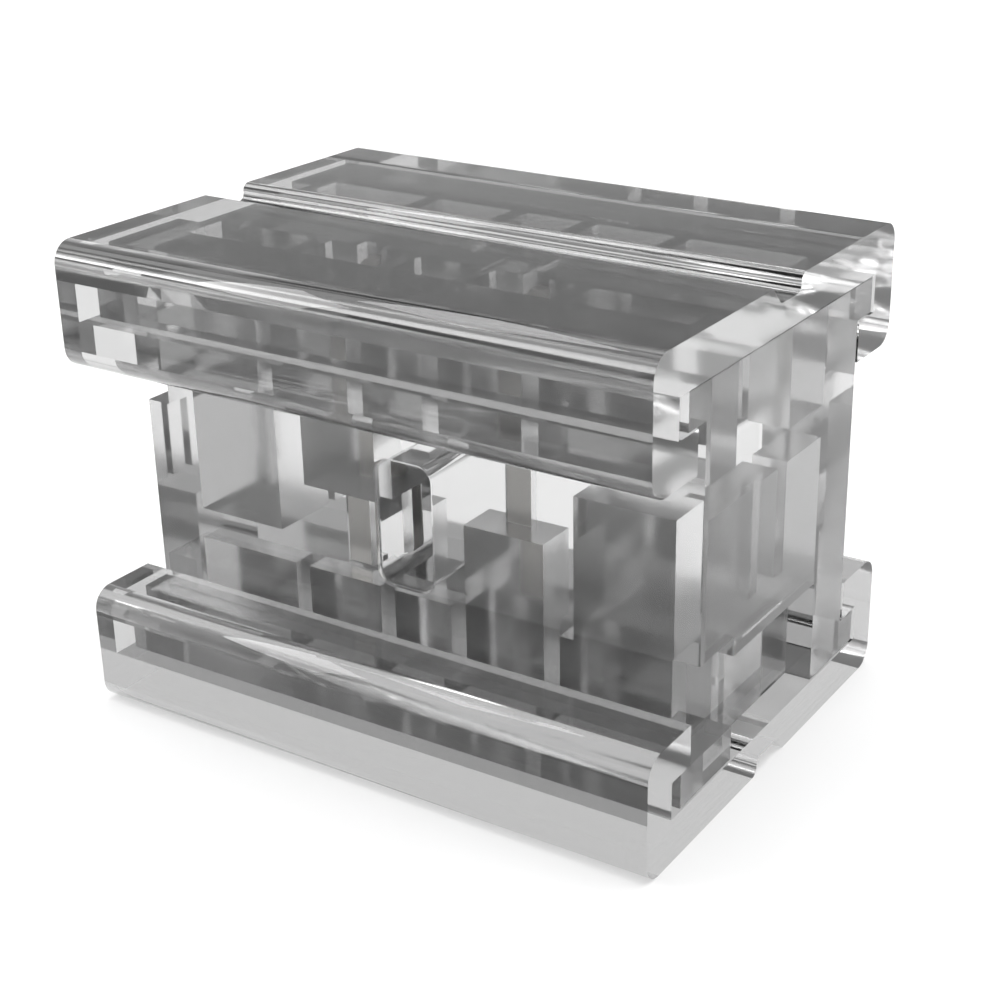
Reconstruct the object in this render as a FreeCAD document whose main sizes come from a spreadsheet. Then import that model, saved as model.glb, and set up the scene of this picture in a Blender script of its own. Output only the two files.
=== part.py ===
"""Clear moulded power connector: a rail-shaped housing with a grooved slide-on cover on each side.

Frame: origin at the middle of the footprint on the resting surface, +X along the rails,
-Y the front with the slot, +Z up. Millimetres.
"""
import FreeCAD, Part
import os

import Sketcher

from FreeCAD import Rotation, Vector

doc = FreeCAD.newDocument("power_connector")

# Driving dimensions, in millimetres
SIZES = {
    # Covers: one extruded profile, used above and below
    "cover_length": 26.5,
    "cover_width": 20.0,
    "cover_height": 5.15,
    "cover_round": 0.9,
    "groove_round": 0.36,
    "groove_foot_round": 0.28,
    "stack_height": 20.1,
    "roof_thickness": 1.86,
    "rail_slot_height": 1.58,
    "lip_play": 0.375,
    "rail_side_play": 0.475,
    "groove_depth": 0.7,
    "groove_front": 1.3,
    "groove_back": 1.08,
    # Housing: rails above and below on a narrower trunk, set in a little from the covers' ends
    "left_inset": 0.4,
    "right_inset": 0.04,
    "trunk_width": 12.85,
    "trunk_back_shift": 0.28,
    "rail_overhang": 1.3,
    "rail_clearance": 0.06,
    # Middle of the cells, to the right of the covers' middle
    "cell_shift": 0.34,
    # Notches at the front of the ends, upper left and lower right, and a port behind each
    "notch_depth": 1.13,
    "notch_top_left": 2.5,
    "notch_bottom_right": 2.84,
    "notch_back": 3.7,
    "port_front": 3.7,
    "port_back": 3.57,
    # Through slot in the middle of the front
    "slot_width": 2.5,
    "slot_height": 5.2,
    "slot_corner": 0.55,
    "slot_rim": 0.17,
    "slot_shift": -0.19,
    "slot_lift": -0.32,
    # Open cells above and below: five columns in a front and a back row, and a floor between the levels
    "front_wall": 1.34,
    "front_row": 2.03,
    "row_wall": 4.45,
    "back_row": 3.1,
    "centre_half": 1.37,
    "divider": 0.72,
    "medium_width": 3.62,
    "end_wall": 1.41,
    "level_floor": 3.66,
    # Deeper pockets in the left columns from above and the right ones from below
    "pocket_inset": 0.62,
    "pocket_margin": 0.09,
    "pocket_reach": 2.3,
    "chamber_depth": 1.33,
    "pocket_rib_setback": 3.5,
    "pocket_rib_thickness": 0.69,
    "pocket_rib_length": 0.8,
    "medium_pocket_depth": 3.22,
    "pocket_wall": 0.8,
    "medium_pocket_reach": 0.0,
    # Contacts, each in a groove down the back wall of a front cell
    "contact_offset": 3.89,
    "contact_width": 1.1,
    "contact_thickness": 0.6,
    "contact_tail": 3.5,
    "contact_sink": 0.5,
    "contact_chamfer": 0.3,
    "contact_clearance": 0.03,
}
sheet = doc.addObject("Spreadsheet::Sheet", "Sizes")
for row, (alias, value) in enumerate(SIZES.items(), start=1):
    sheet.set(f"A{row}", alias)
    sheet.set(f"B{row}", str(value))
    sheet.setAlias(f"B{row}", alias)
doc.recompute()


# Levels of the stack, measured up from its middle, and half widths
HALF_STACK = "(Sizes.stack_height / 2)"
COVER_EDGE = f"({HALF_STACK} - Sizes.cover_height)"
SLOT_ROOF = f"({HALF_STACK} - Sizes.roof_thickness)"
SLOT_SHELF = f"({SLOT_ROOF} - Sizes.rail_slot_height)"
RAIL_TOP = f"({SLOT_ROOF} - Sizes.rail_clearance)"
RAIL_UNDER = f"({SLOT_SHELF} + Sizes.rail_clearance)"
HALF_COVER = "(Sizes.cover_width / 2)"
HALF_TRUNK = "(Sizes.trunk_width / 2)"
HALF_RAIL = f"({HALF_TRUNK} + Sizes.rail_overhang)"
HALF_SLOT = f"({HALF_RAIL} + Sizes.rail_side_play)"
HALF_OPENING = f"({HALF_TRUNK} + Sizes.lip_play)"
LEFT_END = "(Sizes.left_inset - Sizes.cover_length / 2 - Sizes.cell_shift)"
RIGHT_END = "(Sizes.cover_length / 2 - Sizes.right_inset - Sizes.cell_shift)"


def origin_feature(body, role):
    """The body's own plane or axis with this role."""
    return next(item for item in body.Origin.OriginFeatures if item.Role == role)


def new_sketch(body, name, plane, lift=None):
    """A sketch on one of the body's origin planes, raised along its normal if asked."""
    sketch = body.newObject("Sketcher::SketchObject", name)
    sketch.AttachmentSupport = [(origin_feature(body, plane), "")]
    sketch.MapMode = "FlatFace"
    if lift:
        sketch.setExpression("AttachmentOffset.Base.z", lift)
    return sketch


def draw_polygon(sketch, points):
    """Add a closed outline. Each point is a pair of expressions that hold its coordinates."""
    first = sketch.GeometryCount
    spots = [Vector(sketch.evalExpression(x), sketch.evalExpression(y), 0) for x, y in points]
    count = len(points)
    for index, spot in enumerate(spots):
        sketch.addGeometry(Part.LineSegment(spot, spots[(index + 1) % count]), False)
    for index in range(count):
        following = first + (index + 1) % count
        sketch.addConstraint(Sketcher.Constraint("Coincident", first + index, 2, following, 1))
    for index, (x, y) in enumerate(points):
        for kind, value, expression in (("DistanceX", spots[index].x, x), ("DistanceY", spots[index].y, y)):
            constraint = sketch.addConstraint(Sketcher.Constraint(kind, -1, 1, first + index, 1, value))
            sketch.setExpression(f"Constraints[{constraint}]", expression)


def draw_rectangle(sketch, left, right, low, high):
    """Add a rectangle between four expressions."""
    draw_polygon(sketch, [(left, low), (right, low), (right, high), (left, high)])


def pad_both_ways(body, name, sketch, length):
    """Pad a sketch by half of the length to each side."""
    pad = body.newObject("PartDesign::Pad", name)
    pad.Profile = sketch
    pad.Midplane = True
    pad.setExpression("Length", length)
    return pad


def cut(body, name, sketch, depth=None, forwards=False):
    """Pocket a sketch by a depth against its normal or along it, or right through both ways."""
    volume_before = body.Shape.Volume
    pocket = body.newObject("PartDesign::Pocket", name)
    pocket.Profile = sketch
    if depth:
        pocket.setExpression("Length", depth)
        pocket.Reversed = forwards
    else:
        pocket.Type = "ThroughAll"
        pocket.Midplane = True
    doc.recompute()
    if not pocket.Shape.Volume < volume_before - 1e-6:
        raise RuntimeError(f"{name} removed nothing")
    return pocket


def edges_along(shape, axis, first, second):
    """Names of the straight edges along an axis through one point of the plane across it."""
    others = [letter for letter in "XYZ" if letter != axis.upper()]
    names = []
    for number, edge in enumerate(shape.Edges, start=1):
        box = edge.BoundBox
        off = sum(abs(getattr(box, other + end) - value)
                  for other, value in zip(others, (first, second)) for end in ("Min", "Max"))
        if off < 1e-4 and getattr(box, axis.upper() + "Length") > 1:
            names.append(f"Edge{number}")
    return names


def mouth_edges(shape, depth, width, height):
    """Names of the edges round both ends of the slot, in the trunk's front and back faces."""
    names = []
    for number, edge in enumerate(shape.Edges, start=1):
        box = edge.BoundBox
        flat = box.YLength < 1e-6 and abs(abs(box.YMin) - depth) < 1e-4
        near = abs(box.Center.x - SIZES["slot_shift"]) <= width / 2 + 1e-6
        level = abs(box.Center.z - SIZES["slot_lift"]) <= height / 2 + 1e-6
        if flat and near and level:
            names.append(f"Edge{number}")
    return names


def round_edges(body, name, edges, radius):
    """Fillet the named edges of the body's last feature."""
    base = body.Tip
    fillet = body.newObject("PartDesign::Fillet", name)
    fillet.Base = (base, edges)
    fillet.setExpression("Radius", radius)
    doc.recompute()
    return fillet


def make_cover(label, turned):
    """One slide-on cover: an extruded channel with a lipped rail slot and a grooved back."""
    body = doc.addObject("PartDesign::Body", label)
    groove_floor = f"({HALF_STACK} - Sizes.groove_depth)"
    profile = new_sketch(body, label + "_profile", "YZ_Plane")
    draw_polygon(profile, [
        (f"-{HALF_COVER}", COVER_EDGE),
        (f"-{HALF_COVER}", HALF_STACK),
        ("-Sizes.groove_front", HALF_STACK),
        ("-Sizes.groove_front + Sizes.groove_depth", groove_floor),
        ("Sizes.groove_back", groove_floor),
        ("Sizes.groove_back", HALF_STACK),
        (HALF_COVER, HALF_STACK),
        (HALF_COVER, COVER_EDGE),
        (HALF_OPENING, COVER_EDGE),
        (HALF_OPENING, SLOT_SHELF),
        (HALF_SLOT, SLOT_SHELF),
        (HALF_SLOT, SLOT_ROOF),
        (f"-{HALF_SLOT}", SLOT_ROOF),
        (f"-{HALF_SLOT}", SLOT_SHELF),
        (f"-{HALF_OPENING}", SLOT_SHELF),
        (f"-{HALF_OPENING}", COVER_EDGE),
    ])
    pad_both_ways(body, label + "_extrusion", profile, "Sizes.cover_length")
    doc.recompute()
    corners = [(side * SIZES["cover_width"] / 2, SIZES["stack_height"] / 2 - drop)
               for side in (-1, 1) for drop in (0, SIZES["cover_height"])]
    names = [name for y, z in corners for name in edges_along(body.Shape, "x", y, z)]
    round_edges(body, label + "_corners", names, "Sizes.cover_round")
    names = edges_along(body.Shape, "x", SIZES["groove_back"], SIZES["stack_height"] / 2)
    round_edges(body, label + "_groove_edge", names, "Sizes.groove_round")
    names = edges_along(body.Shape, "x", SIZES["groove_back"], SIZES["stack_height"] / 2 - SIZES["groove_depth"])
    round_edges(body, label + "_groove_foot", names, "Sizes.groove_foot_round")
    body.Placement.Rotation = Rotation(Vector(1, 0, 0), 180 if turned else 0)
    body.setExpression("Placement.Base.z", HALF_STACK)
    return body


def half_turn(body, name, originals):
    """Repeat features half a turn about the body's Y axis, so that top and bottom match."""
    pattern = body.newObject("PartDesign::PolarPattern", name)
    pattern.Originals = originals
    pattern.Axis = (origin_feature(body, "Y_Axis"), [""])
    pattern.Angle = 360
    pattern.Occurrences = 2
    body.Tip = pattern
    doc.recompute()
    return pattern


def place_on_cells(body):
    """Put a body's origin at the middle of the cells."""
    body.setExpression("Placement.Base.x", "Sizes.cell_shift")
    body.setExpression("Placement.Base.y", "Sizes.trunk_back_shift")
    body.setExpression("Placement.Base.z", HALF_STACK)


# Rows of cells from the front, and columns from the middle outwards, from the middle of the trunk
FRONT_ROW = (f"(Sizes.front_wall - {HALF_TRUNK})", f"(Sizes.front_wall - {HALF_TRUNK} + Sizes.front_row)")
BACK_ROW = (f"({FRONT_ROW[1]} + Sizes.row_wall)", f"({FRONT_ROW[1]} + Sizes.row_wall + Sizes.back_row)")
CONTACT_FRONT = f"({FRONT_ROW[1]} + Sizes.contact_clearance)"
CONTACT_BACK = f"({CONTACT_FRONT} + Sizes.contact_thickness)"
MEDIUM = ("(Sizes.centre_half + Sizes.divider)", "(Sizes.centre_half + Sizes.divider + Sizes.medium_width)")
WIDE = (f"({MEDIUM[1]} + Sizes.divider)", f"({RIGHT_END} - Sizes.end_wall)")


def make_housing():
    """The moulded housing: a trunk with a rail above and below, notched ends, cells and a slot."""
    body = doc.addObject("PartDesign::Body", "housing")
    profile = new_sketch(body, "housing_profile", "YZ_Plane", LEFT_END)
    draw_polygon(profile, [
        (f"-{HALF_RAIL}", RAIL_UNDER),
        (f"-{HALF_RAIL}", RAIL_TOP),
        (HALF_RAIL, RAIL_TOP),
        (HALF_RAIL, RAIL_UNDER),
        (HALF_TRUNK, RAIL_UNDER),
        (HALF_TRUNK, f"-{RAIL_UNDER}"),
        (HALF_RAIL, f"-{RAIL_UNDER}"),
        (HALF_RAIL, f"-{RAIL_TOP}"),
        (f"-{HALF_RAIL}", f"-{RAIL_TOP}"),
        (f"-{HALF_RAIL}", f"-{RAIL_UNDER}"),
        (f"-{HALF_TRUNK}", f"-{RAIL_UNDER}"),
        (f"-{HALF_TRUNK}", RAIL_UNDER),
    ])
    pad = body.newObject("PartDesign::Pad", "housing_extrusion")
    pad.Profile = profile
    pad.setExpression("Length", f"{RIGHT_END} - {LEFT_END}")
    doc.recompute()

    notches = new_sketch(body, "notch_outlines", "XZ_Plane", "Sizes.notch_back")
    draw_rectangle(notches, LEFT_END, f"{LEFT_END} + Sizes.notch_depth", "Sizes.notch_top_left", RAIL_UNDER)
    draw_rectangle(notches, f"{RIGHT_END} - Sizes.notch_depth", RIGHT_END,
                   f"-{RAIL_UNDER}", "-Sizes.notch_bottom_right")
    cut(body, "notches", notches, f"{HALF_RAIL} - Sizes.notch_back", True)
    for name, side, wall, lift in (("upper", "", LEFT_END, RAIL_TOP), ("lower", "-", RIGHT_END, "-Sizes.level_floor")):
        port = new_sketch(body, f"{name}_port_outline", "XY_Plane", lift)
        inner = f"{wall} + Sizes.notch_depth" if name == "upper" else f"{wall} - Sizes.notch_depth"
        draw_rectangle(port, wall, inner, "-Sizes.port_front", "Sizes.port_back")
        cut(body, f"{name}_port", port, f"{RAIL_TOP} - Sizes.level_floor")

    cells = new_sketch(body, "cell_outlines", "XY_Plane", RAIL_TOP)
    for front, back in (FRONT_ROW, BACK_ROW):
        draw_rectangle(cells, "-Sizes.centre_half", "Sizes.centre_half", front, back)
        for inner, outer in (MEDIUM, WIDE):
            draw_rectangle(cells, f"-{outer}", f"-{inner}", front, back)
            draw_rectangle(cells, inner, outer, front, back)
    level = cut(body, "cells", cells, f"{RAIL_TOP} - Sizes.level_floor")

    pocket_left = f"-({WIDE[1]} - Sizes.pocket_margin)"
    pocket_right = f"-({WIDE[0]} + Sizes.pocket_inset)"
    chamber = new_sketch(body, "chamber_outline", "XY_Plane", "Sizes.level_floor")
    draw_rectangle(chamber, pocket_left, pocket_right, FRONT_ROW[0], BACK_ROW[1])
    chamber_cut = cut(body, "chamber", chamber, "Sizes.chamber_depth")
    wide = new_sketch(body, "wide_pocket_outlines", "XY_Plane", "Sizes.level_floor - Sizes.chamber_depth")
    pocket_back = f"({BACK_ROW[0]} - Sizes.pocket_wall)"
    rib_end = f"{pocket_left} + Sizes.pocket_rib_length"
    rib_front = f"({FRONT_ROW[0]} + Sizes.pocket_rib_setback)"
    rib_back = f"({rib_front} + Sizes.pocket_rib_thickness)"
    draw_polygon(wide, [
        (pocket_left, FRONT_ROW[0]),
        (pocket_right, FRONT_ROW[0]),
        (pocket_right, pocket_back),
        (pocket_left, pocket_back),
        (pocket_left, rib_back),
        (rib_end, rib_back),
        (rib_end, rib_front),
        (pocket_left, rib_front),
    ])
    draw_rectangle(wide, pocket_left, pocket_right, *BACK_ROW)
    wide_cut = cut(body, "wide_pockets", wide,
                   "Sizes.level_floor - Sizes.chamber_depth + Sizes.pocket_reach")
    medium = new_sketch(body, "medium_pocket_outline", "XY_Plane", "Sizes.level_floor")
    draw_rectangle(medium, f"-{MEDIUM[1]}", f"-{MEDIUM[0]}", FRONT_ROW[0],
                   f"{FRONT_ROW[0]} + Sizes.medium_pocket_depth")
    medium_cut = cut(body, "medium_pocket", medium, "Sizes.level_floor - Sizes.medium_pocket_reach")

    half_turn(body, "cells_below", [level, chamber_cut, wide_cut, medium_cut])

    seats = new_sketch(body, "contact_seat_outlines", "XY_Plane", RAIL_TOP)
    gap = "Sizes.contact_clearance"
    for side in (-1, 1):
        middle = f"{side} * Sizes.contact_offset"
        draw_rectangle(seats, f"{middle} - Sizes.contact_width / 2 - {gap}",
                       f"{middle} + Sizes.contact_width / 2 + {gap}",
                       f"{FRONT_ROW[1]} - {gap}", f"{CONTACT_BACK} + {gap}")
    cut(body, "contact_seats", seats, f"{RAIL_TOP} + Sizes.contact_tail + {gap}")

    slot = new_sketch(body, "slot_outline", "XZ_Plane")
    half_slot_width = "Sizes.slot_width / 2"
    half_slot_height = "Sizes.slot_height / 2"
    draw_rectangle(slot, f"Sizes.slot_shift - {half_slot_width}", f"Sizes.slot_shift + {half_slot_width}",
                   f"Sizes.slot_lift - {half_slot_height}", f"Sizes.slot_lift + {half_slot_height}")
    cut(body, "slot", slot)
    corners = [(SIZES["slot_shift"] + side * SIZES["slot_width"] / 2,
                SIZES["slot_lift"] + end * SIZES["slot_height"] / 2) for side in (-1, 1) for end in (-1, 1)]
    names = [name for x, z in corners for name in edges_along(body.Shape, "y", x, z)]
    round_edges(body, "slot_corners", names, "Sizes.slot_corner")
    names = mouth_edges(body.Shape, SIZES["trunk_width"] / 2, SIZES["slot_width"], SIZES["slot_height"])
    round_edges(body, "slot_rims", names, "Sizes.slot_rim")
    place_on_cells(body)
    return body


def make_contact(label, side):
    """A flat contact blade in its groove, chamfered at the top."""
    body = doc.addObject("PartDesign::Body", label)
    outline = new_sketch(body, label + "_outline", "XZ_Plane",
                         f"-({CONTACT_FRONT} + Sizes.contact_thickness / 2)")
    left = f"({side} * Sizes.contact_offset - Sizes.contact_width / 2)"
    right = f"({side} * Sizes.contact_offset + Sizes.contact_width / 2)"
    top = f"({RAIL_TOP} - Sizes.contact_sink)"
    draw_polygon(outline, [
        (left, "-Sizes.contact_tail"),
        (right, "-Sizes.contact_tail"),
        (right, f"{top} - Sizes.contact_chamfer"),
        (f"{right} - Sizes.contact_chamfer", top),
        (f"{left} + Sizes.contact_chamfer", top),
        (left, f"{top} - Sizes.contact_chamfer"),
    ])
    pad_both_ways(body, label + "_blade", outline, "Sizes.contact_thickness")
    place_on_cells(body)
    return body


nodes = [
    make_housing(),
    make_cover("top_cover", False),
    make_cover("bottom_cover", True),
    make_contact("contact_left", -1),
    make_contact("contact_right", 1),
]
doc.recompute()
for item in doc.Objects:
    if "Invalid" in item.State or "Error" in item.State:
        raise RuntimeError(f"{item.Name} failed: {item.State}")
os.makedirs("parts", exist_ok=True)
for node in nodes:
    if node.Shape.isNull() or not node.Shape.isValid():
        raise RuntimeError(f"{node.Label} has no valid shape")
    node.Shape.exportStep(f"parts/{node.Label}.step")
    print(node.Label, len(node.Shape.Solids), round(node.Shape.Volume, 2), node.Shape.BoundBox)
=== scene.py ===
"""Looks of the clear moulded power connector: housing, two slide-on covers and two contacts."""

import bpy
import numpy as np
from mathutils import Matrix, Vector


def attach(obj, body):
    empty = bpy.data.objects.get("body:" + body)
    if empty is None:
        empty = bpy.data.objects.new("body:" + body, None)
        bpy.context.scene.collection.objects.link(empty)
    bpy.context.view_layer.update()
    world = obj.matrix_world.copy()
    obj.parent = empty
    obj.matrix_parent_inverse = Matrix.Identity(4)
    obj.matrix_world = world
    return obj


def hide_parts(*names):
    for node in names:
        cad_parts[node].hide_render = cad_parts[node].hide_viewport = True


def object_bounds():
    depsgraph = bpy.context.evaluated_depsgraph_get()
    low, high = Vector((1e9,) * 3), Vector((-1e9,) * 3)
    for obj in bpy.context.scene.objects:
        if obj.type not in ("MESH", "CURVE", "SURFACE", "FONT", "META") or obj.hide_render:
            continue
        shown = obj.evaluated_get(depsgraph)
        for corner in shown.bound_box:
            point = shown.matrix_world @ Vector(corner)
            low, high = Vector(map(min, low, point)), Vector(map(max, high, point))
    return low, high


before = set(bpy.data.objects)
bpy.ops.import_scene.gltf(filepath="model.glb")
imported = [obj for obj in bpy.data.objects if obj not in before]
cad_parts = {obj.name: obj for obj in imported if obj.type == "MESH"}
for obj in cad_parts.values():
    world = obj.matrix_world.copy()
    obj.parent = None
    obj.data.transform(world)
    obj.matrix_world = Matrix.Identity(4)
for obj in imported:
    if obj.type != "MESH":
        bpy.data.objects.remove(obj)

cad_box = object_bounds()
scene = bpy.context.scene


# Camera: a normal lens in front and to the right of the connector, looking down some 23 degrees on its
# front, top and right end. The small shift frames it as in the photograph.
camera_data = bpy.data.cameras.new("camera")
camera_data.sensor_width = 36
camera_data.lens = 66.08
camera_data.shift_x = -0.0849
camera_data.shift_y = -0.0016
camera_data.clip_start = 0.001
camera = bpy.data.objects.new("camera", camera_data)
camera.location = (0.0398144, -0.058223, 0.03919)
camera.rotation_euler = (1.1611063, 0.00158, 0.5426)
scene.collection.objects.link(camera)
scene.camera = camera
scene.view_settings.view_transform = "Standard"


# Floor: a wide sheet of matt white card on a light table, so that it stays pale to the eye and through
# the clear plastic, while it still takes the soft shadow of the connector.
CARD_WHITE = "F4F4F4"
TABLE_GLOW = 0.45
FLOOR_REACH = 3.0


def linear(hex_colour):
    """Linear RGBA of an sRGB hex colour."""
    parts = [int(hex_colour[i:i + 2], 16) / 255 for i in (0, 2, 4)]
    return tuple(p / 12.92 if p <= 0.04045 else ((p + 0.055) / 1.055) ** 2.4 for p in parts) + (1.0,)


def add_node(tree, kind, settings=None, links=None):
    """Add one node, set its properties and plain sockets, and link the sockets given by name or number."""
    node = tree.nodes.new(kind)
    for name, value in (settings or {}).items():
        if hasattr(node, str(name)):
            setattr(node, name, value)
        else:
            node.inputs[name].default_value = value
    for name, source in (links or {}).items():
        tree.links.new(source, node.inputs[name])
    return node


def new_finish(name):
    """A new material with its node tree and its surface node."""
    material = bpy.data.materials.new(name)
    material.use_nodes = True
    tree = material.node_tree
    return material, tree, tree.nodes["Principled BSDF"]


def matt_white_card():
    """Card lit from above and, where the eye, a reflection or a view through plastic meets it, from below."""
    material, tree, surface = new_finish("matt_white_card")
    surface.inputs["Base Color"].default_value = linear(CARD_WHITE)
    surface.inputs["Roughness"].default_value = 0.9
    surface.inputs["Specular IOR Level"].default_value = 0.2
    ray = add_node(tree, "ShaderNodeLightPath")
    by_plastic = add_node(tree, "ShaderNodeMath", {"operation": "MAXIMUM"},
                          {0: ray.outputs["Is Glossy Ray"], 1: ray.outputs["Is Transmission Ray"]})
    seen = add_node(tree, "ShaderNodeMath", {"operation": "MAXIMUM"},
                    {0: ray.outputs["Is Camera Ray"], 1: by_plastic.outputs[0]})
    share = add_node(tree, "ShaderNodeMath", {"operation": "MULTIPLY", 1: TABLE_GLOW}, {0: seen.outputs[0]})
    glow = add_node(tree, "ShaderNodeEmission", {"Color": linear("FFFFFF"), "Strength": 1.0})
    both = add_node(tree, "ShaderNodeMixShader", {},
                    {0: share.outputs[0], 1: surface.outputs[0], 2: glow.outputs[0]})
    tree.links.new(both.outputs[0], tree.nodes["Material Output"].inputs["Surface"])
    return material


floor_mesh = bpy.data.meshes.new("floor")
floor_corners = [(x * FLOOR_REACH, y * FLOOR_REACH, 0) for x, y in ((-1, -1), (1, -1), (1, 1), (-1, 1))]
floor_mesh.from_pydata(floor_corners, [], [(0, 1, 2, 3)])
floor_mesh.materials.append(matt_white_card())
floor = bpy.data.objects.new("floor", floor_mesh)
scene.collection.objects.link(floor)


# Light: a white room that grows darker above eye level, and two soft boxes. Light turns back many times
# inside clear plastic before it leaves, so its path is followed that far.
LIGHT_TURNS = 11
scene.cycles.max_bounces = LIGHT_TURNS
scene.cycles.glossy_bounces = LIGHT_TURNS
scene.cycles.transmission_bounces = LIGHT_TURNS

# Height of the direction (0 level, 1 straight up) and how light the room is there
ROOM_LEVELS = ((0.0, "FFFFFF"), (0.12, "F4F4F4"), (0.26, "ACACAC"), (1.0, "ACACAC"))
# What the soft boxes face: the middle of the connector
LIT_POINT = (0, 0, 0.01)


def white_room():
    """The room all round: its lightness follows the height of the direction in a few straight ramps."""
    world = bpy.data.worlds.new("white_room")
    world.use_nodes = True
    tree = world.node_tree
    direction = add_node(tree, "ShaderNodeTexCoord")
    height = add_node(tree, "ShaderNodeSeparateXYZ", {}, {0: direction.outputs["Generated"]})
    ramp = add_node(tree, "ShaderNodeValToRGB", {}, {0: height.outputs["Z"]})
    stops = ramp.color_ramp.elements
    for stop, (level, colour) in ((stops[0], ROOM_LEVELS[0]), (stops[1], ROOM_LEVELS[-1])):
        stop.position = level
        stop.color = linear(colour)
    for level, colour in ROOM_LEVELS[1:-1]:
        stops.new(level).color = linear(colour)
    tree.links.new(ramp.outputs[0], tree.nodes["Background"].inputs["Color"])
    return world


def soft_box(name, place, side, power):
    """A square lamp that faces the connector."""
    data = bpy.data.lights.new(name, "AREA")
    data.shape = "SQUARE"
    data.size = side
    data.energy = power
    lamp = bpy.data.objects.new(name, data)
    lamp.location = place
    lamp.rotation_euler = (Vector(LIT_POINT) - Vector(place)).to_track_quat("-Z", "Y").to_euler()
    scene.collection.objects.link(lamp)


scene.world = white_room()
soft_box("left_box", (-0.30, -0.12, 0.16), 0.30, 1.1)
soft_box("top_box", (0.04, 0.06, 0.42), 0.40, 2.2)


# Housing: one clear acrylic moulding. Its outer faces and the slot come from polished steel and are glossy;
# the cells and pockets come from spark-eroded cores and are finely matt, so that what lies behind them is
# soft. It keeps its CAD shape.
ACRYLIC_IOR = 1.49
POLISHED = 0.04
# Haze from handling and from the flow of the melt: a little more roughness in patches of some 4 mm
HAZE = 0.02
HAZE_PATCH = 0.004


def clear_acrylic(name, tint):
    """A clear acrylic, polished, with a faint uneven haze. Returns it with the points it is made at and
    the haze's roughness: the polish plus the haze times a cloudy noise."""
    material, tree, surface = new_finish(name)
    surface.inputs["Base Color"].default_value = linear(tint)
    surface.inputs["Transmission Weight"].default_value = 1.0
    surface.inputs["IOR"].default_value = ACRYLIC_IOR
    place = add_node(tree, "ShaderNodeTexCoord").outputs["Object"]
    patches = add_node(tree, "ShaderNodeTexNoise", {"Scale": 1 / HAZE_PATCH, "Detail": 2.0},
                       {"Vector": place})
    haze = add_node(tree, "ShaderNodeMath", {"operation": "MULTIPLY_ADD", 1: HAZE, 2: POLISHED},
                    {0: patches.outputs[0]})
    tree.links.new(haze.outputs[0], surface.inputs["Roughness"])
    return material, place, haze.outputs[0]


# Light grey in the plastic, for each face that light goes through: the outer faces, and the cells, which get
# a darker grey that is painted shade in the recesses
HOUSING_TINT = "D4D4D4"
CORE_PAINTED_SHADE_TINT = "C0C0C0"
CORE_MATT = 0.2
# The block of space that holds the cores, just inside the housing's outer faces, and the slot's block
CORES = ((-0.0116, -0.00595, 0.0021), (0.0119, 0.00655, 0.0180))
SLOT = ((-0.00142, -0.00700, 0.0067), (0.00172, 0.00700, 0.0128))
# Eroded steel leaves pits of some 0.3 mm in the plastic, which make the matt a little uneven
PIT = 0.0003
PIT_DEPTH = 0.06
# The rails' broad faces, this far above and below the middle of the stack, get a dark grey tint, painted
# shade that makes them look dark through the covers
STACK_MIDDLE = (cad_box[0][2] + cad_box[1][2]) / 2
RAIL_FACE = 0.0081
RAIL_FACE_PAINTED_SHADE = "8C8C8C"


def share_of_block(tree, place, block):
    """How far out a point lies in a block: the largest of its three distances from the block's middle,
    each as a share of the block's half size, so that it is under 1 inside the block."""
    middle = [(low + high) / 2 for low, high in zip(*block)]
    half = [(high - low) / 2 for low, high in zip(*block)]
    offset = add_node(tree, "ShaderNodeVectorMath", {"operation": "SUBTRACT", 1: middle}, {0: place})
    part = add_node(tree, "ShaderNodeVectorMath", {"operation": "DIVIDE", 1: half}, {0: offset.outputs[0]})
    size = add_node(tree, "ShaderNodeVectorMath", {"operation": "ABSOLUTE"}, {0: part.outputs[0]})
    x, y, z = add_node(tree, "ShaderNodeSeparateXYZ", {}, {0: size.outputs[0]}).outputs
    wider = add_node(tree, "ShaderNodeMath", {"operation": "MAXIMUM"}, {0: x, 1: y})
    return add_node(tree, "ShaderNodeMath", {"operation": "MAXIMUM"}, {0: wider.outputs[0], 1: z}).outputs[0]


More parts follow.
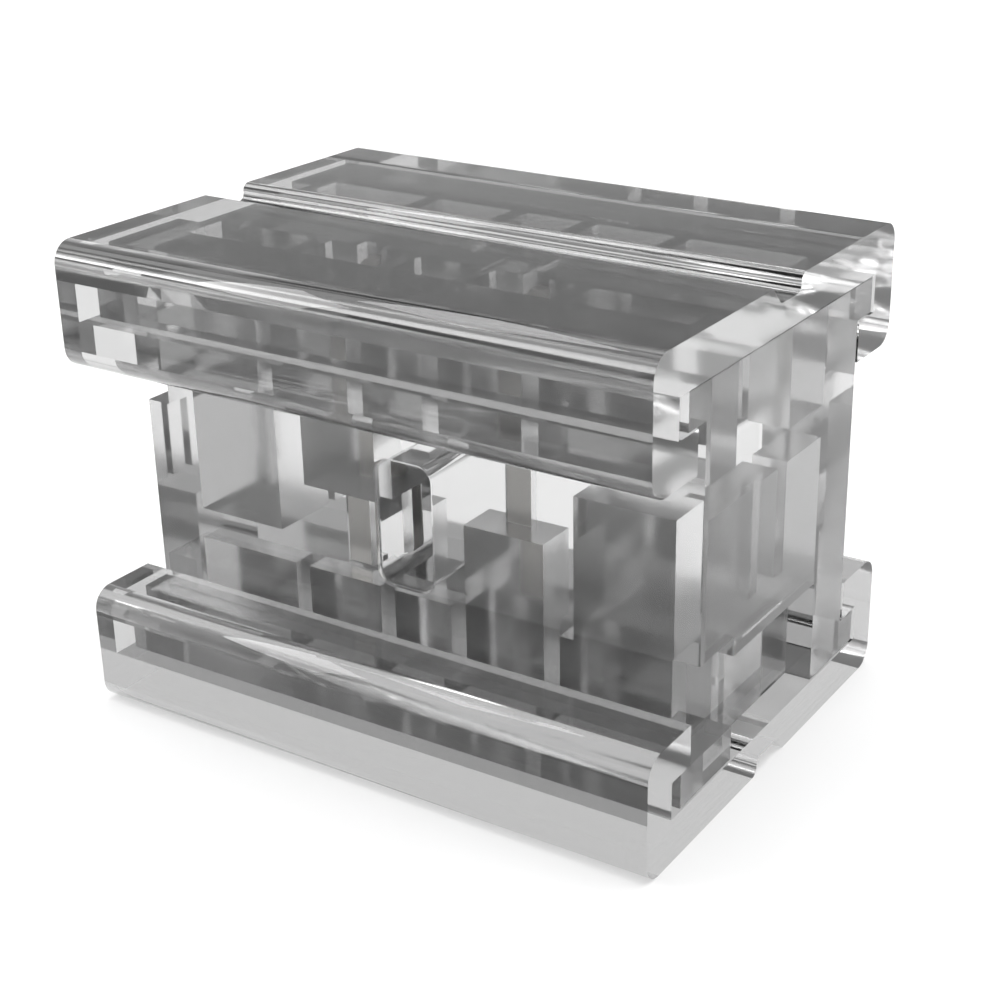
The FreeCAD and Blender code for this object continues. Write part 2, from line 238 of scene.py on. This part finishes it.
def acrylic_with_matt_cores_and_painted_shade():
    """The polished acrylic, but pitted and with a greyer tint as painted shade in the block of the cores
    outside the slot's block, and with the greyest tint, also painted shade, on the rails' broad faces."""
    material, place, haze = clear_acrylic("clear_acrylic_with_matt_cores", HOUSING_TINT)
    tree = material.node_tree
    surface = tree.nodes["Principled BSDF"]
    in_cores = add_node(tree, "ShaderNodeMath", {"operation": "LESS_THAN", 1: 1.0},
                        {0: share_of_block(tree, place, CORES)})
    off_slot = add_node(tree, "ShaderNodeMath", {"operation": "GREATER_THAN", 1: 1.0},
                        {0: share_of_block(tree, place, SLOT)})
    matt = add_node(tree, "ShaderNodeMath", {"operation": "MULTIPLY"},
                    {0: in_cores.outputs[0], 1: off_slot.outputs[0]})
    pits = add_node(tree, "ShaderNodeTexNoise", {"Scale": 1 / PIT, "Detail": 1.0}, {"Vector": place})
    pitted = add_node(tree, "ShaderNodeMath",
                      {"operation": "MULTIPLY_ADD", 1: PIT_DEPTH, 2: CORE_MATT - PIT_DEPTH / 2},
                      {0: pits.outputs[0]})
    roughness = add_node(tree, "ShaderNodeMix", {"data_type": "FLOAT"},
                         {"Factor": matt.outputs[0], "A": haze, "B": pitted.outputs[0]})
    tree.links.new(roughness.outputs[0], surface.inputs["Roughness"])

    height = add_node(tree, "ShaderNodeSeparateXYZ", {}, {0: place})
    lift = add_node(tree, "ShaderNodeMath", {"operation": "SUBTRACT", 1: STACK_MIDDLE},
                    {0: height.outputs["Z"]})
    either_way = add_node(tree, "ShaderNodeMath", {"operation": "ABSOLUTE"}, {0: lift.outputs[0]})
    # Painted shade on the rails' broad faces, where they lie this far from the middle of the stack
    painted_shade_on_rail = add_node(tree, "ShaderNodeMath", {"operation": "GREATER_THAN", 1: RAIL_FACE},
                       {0: either_way.outputs[0]})
    # Sockets 6 and 7 of a Mix node are its two colours, and output 2 is the mixed colour
    # Painted shade: a greyer tint in the cores' block, and a dark grey on the rails' broad faces
    greyer = add_node(tree, "ShaderNodeMix",
                      {"data_type": "RGBA", 6: linear(HOUSING_TINT), 7: linear(CORE_PAINTED_SHADE_TINT)},
                      {0: matt.outputs[0]})
    tint = add_node(tree, "ShaderNodeMix", {"data_type": "RGBA", 7: linear(RAIL_FACE_PAINTED_SHADE)},
                    {0: painted_shade_on_rail.outputs[0], 6: greyer.outputs[2]})
    tree.links.new(tint.outputs[2], surface.inputs["Base Color"])
    return material


def refinish(node, material):
    """Give a CAD node one material in place of its own."""
    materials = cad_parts[node].data.materials
    materials.clear()
    materials.append(material)


refinish("housing", acrylic_with_matt_cores_and_painted_shade())


# Covers: two lengths of one clear acrylic extrusion, polished, with a rail slot inside and a shallow
# groove outside that has one sloped side. The lower cover is the upper one turned half a turn.
COVER_TINT = "C6C6C6"
COVER_LENGTH = cad_box[1][0] - cad_box[0][0]
HALF_WIDTH = cad_box[1][1]
STACK_HEIGHT = cad_box[1][2]
COVER_HEIGHT = 0.00515
COVER_ROUND = 0.0009
# Rail slot: the roof above it, its height, and its half width above and between the lips
ROOF_THICKNESS = 0.00186
RAIL_SLOT_HEIGHT = 0.00158
HALF_SLOT = 0.0082
HALF_OPENING = 0.0068
# Groove: how far it reaches to the front and the back, and the rounds at the top and foot of its back wall
GROOVE_DEPTH = 0.0007
GROOVE_FRONT = 0.0013
GROOVE_BACK = 0.00108
GROOVE_ROUND = 0.00036
GROOVE_FOOT_ROUND = 0.00028
# Steps fine enough for a reflection to run along a round without facets
STEPS_PER_ROUND = 24


def rounded_corner(y, z, radius, start, end):
    """Points of an arc: the centre plus the radius times the cosine and sine of even steps of angle."""
    angle = np.radians(np.linspace(start, end, STEPS_PER_ROUND + 1))
    return np.column_stack((y + radius * np.cos(angle), z + radius * np.sin(angle)))


def cover_section():
    """The upper cover's outline, y and z, in order round it from the groove's front foot, and for each
    side of the outline whether it lies on a round."""
    groove_floor = STACK_HEIGHT - GROOVE_DEPTH
    roof = STACK_HEIGHT - ROOF_THICKNESS
    shelf = roof - RAIL_SLOT_HEIGHT
    lip = STACK_HEIGHT - COVER_HEIGHT
    side = HALF_WIDTH - COVER_ROUND
    high = STACK_HEIGHT - COVER_ROUND
    low = lip + COVER_ROUND
    runs = [
        [(GROOVE_DEPTH - GROOVE_FRONT, groove_floor), (-GROOVE_FRONT, STACK_HEIGHT)],
        rounded_corner(-side, high, COVER_ROUND, 90, 180),
        rounded_corner(-side, low, COVER_ROUND, 180, 270),
        [(-HALF_OPENING, lip), (-HALF_OPENING, shelf), (-HALF_SLOT, shelf), (-HALF_SLOT, roof),
         (HALF_SLOT, roof), (HALF_SLOT, shelf), (HALF_OPENING, shelf), (HALF_OPENING, lip)],
        rounded_corner(side, low, COVER_ROUND, 270, 360),
        rounded_corner(side, high, COVER_ROUND, 0, 90),
        rounded_corner(GROOVE_BACK + GROOVE_ROUND, STACK_HEIGHT - GROOVE_ROUND, GROOVE_ROUND, 90, 180),
        rounded_corner(GROOVE_BACK - GROOVE_FOOT_ROUND, groove_floor + GROOVE_FOOT_ROUND,
                       GROOVE_FOOT_ROUND, 0, -90),
    ]
    on_round = [np.append(np.full(len(run) - 1, len(run) > STEPS_PER_ROUND), False) for run in runs]
    return np.vstack(runs), np.concatenate(on_round)


def extruded_cover(name, outline, on_round, body):
    """A cover: its outline at both ends of the length, a quad for each side of the outline between them,
    and one face on each end. The sides on rounds are shaded smooth."""
    count = len(outline)
    ends = np.repeat([-COVER_LENGTH / 2, COVER_LENGTH / 2], count)
    points = np.column_stack((ends, np.tile(outline, (2, 1))))
    here = np.arange(count)
    following = np.roll(here, -1)
    sides = np.column_stack((here, following, following + count, here + count))
    faces = sides.tolist() + [here[::-1].tolist(), (here + count).tolist()]
    mesh = bpy.data.meshes.new(name)
    mesh.from_pydata(points.tolist(), [], faces)
    mesh.polygons.foreach_set("use_smooth", np.append(on_round, [False, False]))
    mesh.materials.append(cover_plastic)
    piece = bpy.data.objects.new(name, mesh)
    scene.collection.objects.link(piece)
    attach(piece, body)
    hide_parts(body)


cover_plastic = clear_acrylic("clear_polished_acrylic", COVER_TINT)[0]
section, on_round = cover_section()
extruded_cover("upper_extrusion", section, on_round, "top_cover")
extruded_cover("lower_extrusion", np.array((0, STACK_HEIGHT)) - section, on_round, "bottom_cover")


# Contacts: blades stamped from brass strip and tin plated, satin grey, with the fine lines of rolling
# along their length.
PLATED_TIN = "D2D0CC"
ROLLING_LINE = 0.00005
ROLLING_RUN = 0.005
SATIN_LEAST = 0.25
SATIN_SPREAD = 0.2


def tin_plated_brass():
    """Plated metal whose roughness is the least plus the spread times a noise drawn out along the strip."""
    material, tree, surface = new_finish("tin_plated_brass")
    surface.inputs["Base Color"].default_value = linear(PLATED_TIN)
    surface.inputs["Metallic"].default_value = 1.0
    strip = add_node(tree, "ShaderNodeTexCoord")
    drawn_out = add_node(tree, "ShaderNodeMapping",
                         {"Scale": (1 / ROLLING_LINE, 1 / ROLLING_LINE, 1 / ROLLING_RUN)},
                         {"Vector": strip.outputs["Object"]})
    lines = add_node(tree, "ShaderNodeTexNoise", {"Scale": 1.0, "Detail": 2.0},
                     {"Vector": drawn_out.outputs[0]})
    satin = add_node(tree, "ShaderNodeMath",
                     {"operation": "MULTIPLY_ADD", 1: SATIN_SPREAD, 2: SATIN_LEAST}, {0: lines.outputs[0]})
    tree.links.new(satin.outputs[0], surface.inputs["Roughness"])
    return material


plated_strip = tin_plated_brass()
refinish("contact_left", plated_strip)
refinish("contact_right", plated_strip)
